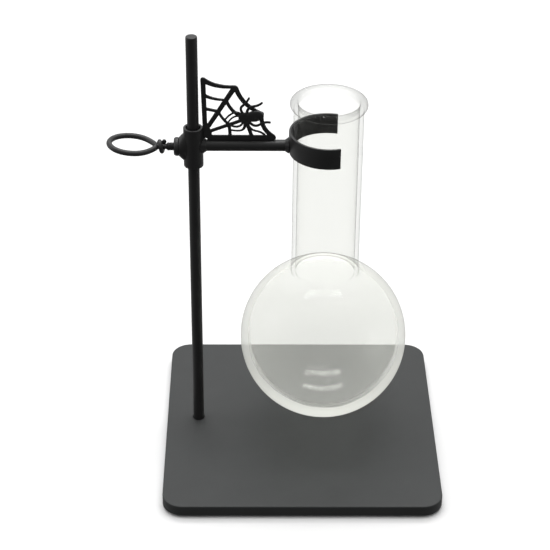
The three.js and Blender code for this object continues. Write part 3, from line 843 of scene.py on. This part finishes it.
weld_bead(
    "collar_weld", "arm_weld", collar_radius + WELD_GAP, collar_radius + WELD_LENGTH, hug_collar
)
weld_bead("clip_weld_bead", "clip_weld", clip_start - WELD_GAP, arm_end - WELD_LENGTH, hug_clip)


# ---- Clip and its liner -------------------------------------------------------------------
# A strip of spring steel rolled to a little over half a circle and coated black. A thin
# rubber strip is glued inside it, so that the clip grips the glass without scratching it.

CLIP_WALL = 1.2 * MM
CLIP_HALF_ANGLE = math.radians(106.4)
CLIP_EDGE = 0.25 * MM
bm = bmesh.new()
split_ring(
    bm, clip_outer - CLIP_WALL, clip_outer, clip_low.z, clip_high.z,
    CLIP_HALF_ANGLE, math.pi, CLIP_EDGE, steps=96,
)
bmesh.ops.transform(bm, verts=bm.verts, matrix=upright_axis(flask_axis.x, rod_axis.y))
make_piece("spring_clip", bm, black_coat, "clamp", "black_coat", "clip_band")

LINER_WALL = 0.7 * MM
LINER_HALF_ANGLE = math.radians(78)
LINER_EDGE = 0.15 * MM
liner_rubber = grained("liner_rubber", (0.012,) * 3, (0.022,) * 3, 0.2 * MM, 0.8, 0.02 * MM, 0.3)
liner_low, liner_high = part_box("clip_liner")
liner_outer = flask_axis.x - liner_low.x
bm = bmesh.new()
split_ring(
    bm, liner_outer - LINER_WALL, liner_outer, liner_low.z, liner_high.z,
    LINER_HALF_ANGLE, math.pi, LINER_EDGE, steps=72,
)
bmesh.ops.transform(bm, verts=bm.verts, matrix=upright_axis(flask_axis.x, rod_axis.y))
make_piece("rubber_liner", bm, liner_rubber, "clamp", "liner_rubber", "clip_liner")


# ---- Web and spider -----------------------------------------------------------------------
# The web is cut from thin steel sheet and tacked to the collar and the arm; the spider is
# a pressing spot-welded to its front. Coating softens every cut edge and fills the corners.

WEB_VOXEL = 0.17 * MM
SPIDER_VOXEL = 0.12 * MM
WEB_COAT = 0.08 * MM


def softened(node, voxel, passes):
    """A cut shape with its edges and inner corners softened by its coat, as a bmesh."""
    shape = bmesh.new()
    shape.from_mesh(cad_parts[node].data)
    bmesh.ops.remove_doubles(shape, verts=shape.verts, dist=1e-7)
    cut = solid_object(shape, node + "_cut")
    fuse(cut, voxel, passes, WEB_COAT)
    return applied(cut)


bm = softened("web_plate", WEB_VOXEL, passes=4)
make_piece("cut_web", bm, black_coat, "clamp", "black_coat", "web_plate", crease=math.pi)

spider_low, spider_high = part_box("spider")
SPIDER_BODY = (
    (Vector((31.4, 17.3)) * MM, 4.6 * MM, 3.0 * MM, 0.16, 0.75 * MM),
    (Vector((26.2, 16.3)) * MM, 3.0 * MM, 3.0 * MM, 0.0, 0.45 * MM),
)
bm = softened("spider", SPIDER_VOXEL, passes=5)
spider_middle = (spider_low.y + spider_high.y) / 2
for vert in bm.verts:
    # The abdomen and the head are pressed out to the front.
    if vert.co.y > spider_middle:
        continue
    here = Vector((vert.co.x - rod_axis.x, vert.co.z - arm_height))
    rise = 0
    for centre, half_length, half_height, tilt, dome in SPIDER_BODY:
        offset = here - centre
        along = offset.x * math.cos(tilt) + offset.y * math.sin(tilt)
        across = offset.y * math.cos(tilt) - offset.x * math.sin(tilt)
        inside = 1 - (along / half_length) ** 2 - (across / half_height) ** 2
        rise = max(rise, dome * math.sqrt(max(0, inside)))
    vert.co.y -= rise
make_piece("pressed_spider", bm, black_coat, "clamp", "black_coat", "spider", crease=math.pi)


# ---- Flask --------------------------------------------------------------------------------
# Clear blown glass: a bulb that is heavy at the bottom and thin at the shoulder, a straight
# neck set sharply on it, and a fire-polished bead round the mouth.

NECK_OUTER = 18 * MM
NECK_WALL = 2.2 * MM
SIDE_WALL = 3.6 * MM
BOTTOM_WALL = 6.4 * MM
RIM_BEAD = 2.2 * MM
RIM_RADIUS = 19.9 * MM
SHOULDER_ROUND = 1.0 * MM
SHOULDER_RISE = 4 * MM
SKIN_MARGIN = 0.2 * MM

bulb_radius = (flask_high.y - flask_low.y) / 2
bulb_height = flask_low.z + bulb_radius
rim_height = flask_high.z - RIM_BEAD
bead_middle = RIM_RADIUS - RIM_BEAD
neck_inner = NECK_OUTER - NECK_WALL
hollow_radius = bulb_radius - SIDE_WALL
hollow_height = bulb_height + BOTTOM_WALL - SIDE_WALL


def arc(centre_radius, centre_height, radius, start, end, steps):
    """Profile points along an arc."""
    points = []
    for step in range(steps + 1):
        angle = start + (end - start) * step / steps
        points.append((
            centre_radius + radius * math.cos(angle), centre_height + radius * math.sin(angle)
        ))
    return points


outer_join = math.acos(NECK_OUTER / bulb_radius)
inner_join = math.acos(neck_inner / hollow_radius)
bead_foot = -math.acos((NECK_OUTER - bead_middle) / RIM_BEAD)
bead_end = math.acos((neck_inner - bead_middle) / RIM_BEAD)
outside = arc(0, bulb_height, bulb_radius, -math.pi / 2, outer_join, 72)
neck_foot = (NECK_OUTER, outside[-1][1] + SHOULDER_RISE)
shoulder = rounded([outside[-2], outside[-1], neck_foot], SHOULDER_ROUND)
inside = arc(0, hollow_height, hollow_radius, inner_join, -math.pi / 2, 64)
profile = [
    *outside[:-2],
    *shoulder,
    *arc(bead_middle, rim_height, RIM_BEAD, bead_foot, bead_end, 20),
    *inside,
]
profile[0] = (0, profile[0][1])
profile[-1] = (0, profile[-1][1])
bm = bmesh.new()
turn(bm, profile, steps=160)
bmesh.ops.transform(bm, verts=bm.verts, matrix=upright_axis(flask_axis.x, flask_axis.y))

# The skin mark tells the outer wall from the inner one, which gets no painted rim light of its
# own.
skin_mark = bm.verts.layers.float.new("outer_skin")
for vert in bm.verts:
    reach = math.hypot(vert.co.x - flask_axis.x, vert.co.y - flask_axis.y)
    from_hollow = math.hypot(reach, vert.co.z - hollow_height)
    in_hollow = from_hollow < hollow_radius + SKIN_MARGIN
    in_neck = reach < neck_inner + SKIN_MARGIN and vert.co.z > bulb_height
    vert[skin_mark] = 0.0 if in_hollow or in_neck else 1.0

glass = bpy.data.materials.new("clear_glass")
glass.use_nodes = True
glass_tree = glass.node_tree


def blended(share, first, second):
    """A mix of two shaders, by a socket or a plain number; its result socket."""
    node = glass_tree.nodes.new("ShaderNodeMixShader")
    if isinstance(share, float):
        node.inputs["Fac"].default_value = share
    else:
        glass_tree.links.new(share, node.inputs["Fac"])
    glass_tree.links.new(first, node.inputs[1])
    glass_tree.links.new(second, node.inputs[2])
    return node.outputs["Shader"]


# A faint milky haze in the glass, and a pale rim of painted light on the outer wall of the bulb
# where it is seen edge on, standing for the bright surroundings that the thick wall bends into
# view; the rim is widest and strongest low on the bulb where the wall is heaviest, and there is
# almost no haze and no rim up the neck.
glass_place = glass_tree.nodes.new("ShaderNodeTexCoord").outputs["Object"]
glass_parts = glass_tree.nodes.new("ShaderNodeSeparateXYZ")
glass_tree.links.new(glass_place, glass_parts.inputs["Vector"])
glass_height = glass_parts.outputs["Z"]
edge = glass_tree.nodes.new("ShaderNodeLayerWeight")
edge.inputs["Blend"].default_value = 0.5
edge_on = edge.outputs["Facing"]
skin = glass_tree.nodes.new("ShaderNodeAttribute")
skin.attribute_name = "outer_skin"
on_outer = skin.outputs["Fac"]
low_down = ranged(glass_height, 25 * MM, 66 * MM, 1.0, 0.0)
bulb_part = ranged(glass_height, 96 * MM, 112 * MM, 1.0, 0.0, smooth=True)
swirl = mottle(glass_place, 40, 4)
wavy = ranged(swirl, 0.3, 0.7, -0.02, 0.02)
edge_reach = computed("ADD", computed("MULTIPLY_ADD", low_down, 0.12, edge_on), wavy)
painted_rim_mask = ranged(edge_reach, 0.55, 0.62, 0.0, 1.0, smooth=True)
painted_rim_strength = computed("MULTIPLY_ADD", low_down, 0.53, 0.45)
# Painted light: the pale rim, only on the bulb's outer wall.
painted_rim_light = computed("MULTIPLY", computed("MULTIPLY", painted_rim_mask, painted_rim_strength), bulb_part)
outer_painted_rim_light = computed("MULTIPLY", painted_rim_light, on_outer)
flat_haze = ranged(bulb_part, 0.0, 1.0, 0.006, 0.15)
haze_and_painted_rim = computed("MAXIMUM", outer_painted_rim_light, flat_haze)

tint = glass_tree.nodes.new("ShaderNodeValToRGB")
tint.color_ramp.elements[0].color = (0.96, 0.965, 0.925, 1)
tint.color_ramp.elements[1].color = (0.985, 0.99, 0.96, 1)
glass_tree.links.new(swirl, tint.inputs["Fac"])
haze_and_rim_veil = glass_tree.nodes["Principled BSDF"]
haze_and_rim_veil.inputs["Roughness"].default_value = 0.4
haze_and_rim_veil.inputs["Specular IOR Level"].default_value = 0.2
glass_tree.links.new(tint.outputs["Color"], haze_and_rim_veil.inputs["Base Color"])
glow = glass_tree.nodes.new("ShaderNodeBsdfTranslucent")
glass_tree.links.new(tint.outputs["Color"], glow.inputs["Color"])
lit_haze_and_rim = blended(0.95, haze_and_rim_veil.outputs["BSDF"], glow.outputs["BSDF"])

# The clear part passes a little less light up the neck, and less where a wall is seen nearly
# along its face. Painted shade darkens it again in the melted bead at the mouth and in a ring
# round the neck's thick root, where these are seen edge on, standing for the dark lines that
# thick glass bends into view there.
clear = glass_tree.nodes.new("ShaderNodeBsdfTransparent")
bulb_inside = computed("MULTIPLY", bulb_part, computed("SUBTRACT", 1.0, on_outer))
shown_edge = computed("MULTIPLY", edge_on, computed("SUBTRACT", 1.0, bulb_inside))
inner_pass = ranged(bulb_part, 0.0, 1.0, 0.987, 0.995)
skin_loss = computed("MULTIPLY", on_outer, ranged(bulb_part, 0.0, 1.0, 0.092, 0.05))
flat_pass = computed("SUBTRACT", inner_pass, skin_loss)
edge_pass = ranged(shown_edge, 0.8, 1.0, 1.0, 0.74)
bead_part = ranged(glass_height, rim_height - 2.6 * MM, rim_height - 1.4 * MM, 0.0, 1.0)
bead_painted_shade = computed("MULTIPLY", bead_part, ranged(edge_on, 0.1, 0.85, 0.0, 0.26))
neck_root = bulb_height + bulb_radius * math.sin(outer_join)
root_below = ranged(glass_height, neck_root - 1.6 * MM, neck_root - 0.6 * MM, 0.0, 1.0)
root_above = ranged(glass_height, neck_root + 0.4 * MM, neck_root + 1.4 * MM, 1.0, 0.0)
root_part = computed("MULTIPLY", root_below, root_above)
root_painted_shade = computed("MULTIPLY", root_part, ranged(edge_on, 0.5, 0.8, 0.0, 0.3))
# Painted shade in the bead and round the neck's root.
painted_shade_rings = computed("MAXIMUM", bead_painted_shade, root_painted_shade)
past_painted_shade = computed("SUBTRACT", 1.0, painted_shade_rings)
passed = computed("MULTIPLY", flat_pass, computed("MULTIPLY", edge_pass, past_painted_shade))
passed_tint = glass_tree.nodes.new("ShaderNodeCombineColor")
for channel, share in (("Red", 0.998), ("Green", 1.0), ("Blue", 0.991)):
    glass_tree.links.new(computed("MULTIPLY", passed, share), passed_tint.inputs[channel])
glass_tree.links.new(passed_tint.outputs["Color"], clear.inputs["Color"])
wall = blended(haze_and_painted_rim, clear.outputs["BSDF"], lit_haze_and_rim)

# The lamps show as soft streaks, mostly from the far side of the bulb.
shine = glass_tree.nodes.new("ShaderNodeBsdfGlossy")
shine.inputs["Roughness"].default_value = 0.03
sides = glass_tree.nodes.new("ShaderNodeNewGeometry")
far_side = computed("MULTIPLY", sides.outputs["Backfacing"], on_outer)
flat_mirror = computed("MULTIPLY_ADD", computed("MULTIPLY", far_side, bulb_part), 0.09, 0.006)
mirror = computed("MULTIPLY_ADD", computed("POWER", shown_edge, 5), 0.4, flat_mirror)
surface = blended(mirror, wall, shine.outputs["BSDF"])
glass_output = glass_tree.nodes["Material Output"]
glass_tree.links.new(surface, glass_output.inputs["Surface"])
make_piece("glass_flask", bm, glass, "flask", "flask_glass", "flask", crease=math.radians(50))
